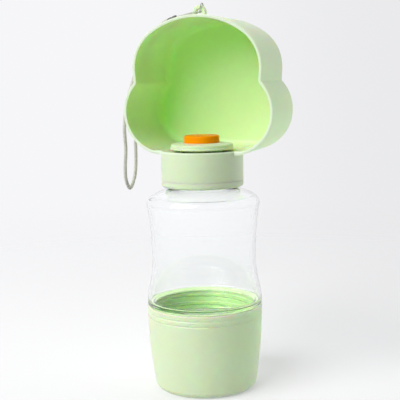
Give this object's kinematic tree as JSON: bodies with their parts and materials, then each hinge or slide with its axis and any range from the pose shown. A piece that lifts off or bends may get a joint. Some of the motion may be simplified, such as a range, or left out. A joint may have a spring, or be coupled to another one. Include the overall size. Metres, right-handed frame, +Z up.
{
  "type": "dog travel water bottle",
  "caption": "Clear travel bottle for dogs with a screw-on food cup below and a cloud-shaped drinking bowl, press button and wrist strap on top.",
  "frame": {"origin": "middle of the food cup's flat underside, on the bottle's axis", "axes": "+Z up the bottle's axis, -Y towards the drinking bowl's opening, +X to the right seen from the opening"},
  "size_m": [0.1033, 0.08, 0.2448],
  "materials": {
    "green_plastic": "satin moulded",
    "clear_plastic": "clear moulded",
    "orange_plastic": "satin moulded",
    "white_plastic": "moulded",
    "silicone": "matte milky",
    "black_rubber": "matte",
    "steel": "drawn wire",
    "grey_cord": "braided",
    "dark_crimp": "moulded"
  },
  "bodies": {
    "cup": {"food_cup": "green_plastic"},
    "cup_gasket": {"cup_seal": "silicone"},
    "flask": {"bottle": "clear_plastic"},
    "neck_gasket": {"neck_seal": "silicone"},
    "cap": {"screw_ring": "green_plastic", "bowl": "green_plastic", "valve_body": "green_plastic", "floor_seal": "silicone", "outlet_disc": "green_plastic", "stem_seal": "black_rubber", "return_spring": "steel", "strap_string": "grey_cord", "strap_crimp": "dark_crimp", "strap_cord": "grey_cord"},
    "press": {"button": "orange_plastic", "valve_stem": "white_plastic", "valve_washer": "silicone", "washer_holder": "white_plastic", "stem_screw": "steel"}
  },
  "joints": [
    {"name": "cup_lift", "type": "slide", "parent": "cup", "child": "cup_gasket", "axis": [0, 0, 1], "range_m": [0, 0.00905]},
    {"name": "cup_turn", "type": "hinge", "parent": "cup_gasket", "child": "flask", "pos_m": [0, 0, 0], "axis": [0, 0, 1], "range_deg": [0, 540]},
    {"name": "cap_lift", "type": "slide", "parent": "flask", "child": "neck_gasket", "axis": [0, 0, 1], "range_m": [0, 0.00905]},
    {"name": "cap_turn", "type": "hinge", "parent": "neck_gasket", "child": "cap", "pos_m": [0, 0, 0], "axis": [0, 0, 1], "range_deg": [0, 720]},
    {"name": "button_press", "type": "slide", "parent": "cap", "child": "press", "axis": [0, 0, -1], "range_m": [0, 0.003], "stiffness_N_per_m": 300, "springref_m": -0.006, "deforming": ["return_spring"]}
  ],
  "couplings": [
    {"joint": "cup_lift", "follows": "cup_turn", "m_per_rad": 0.00095493},
    {"joint": "cap_lift", "follows": "cap_turn", "m_per_rad": 0.0007162}
  ]
}
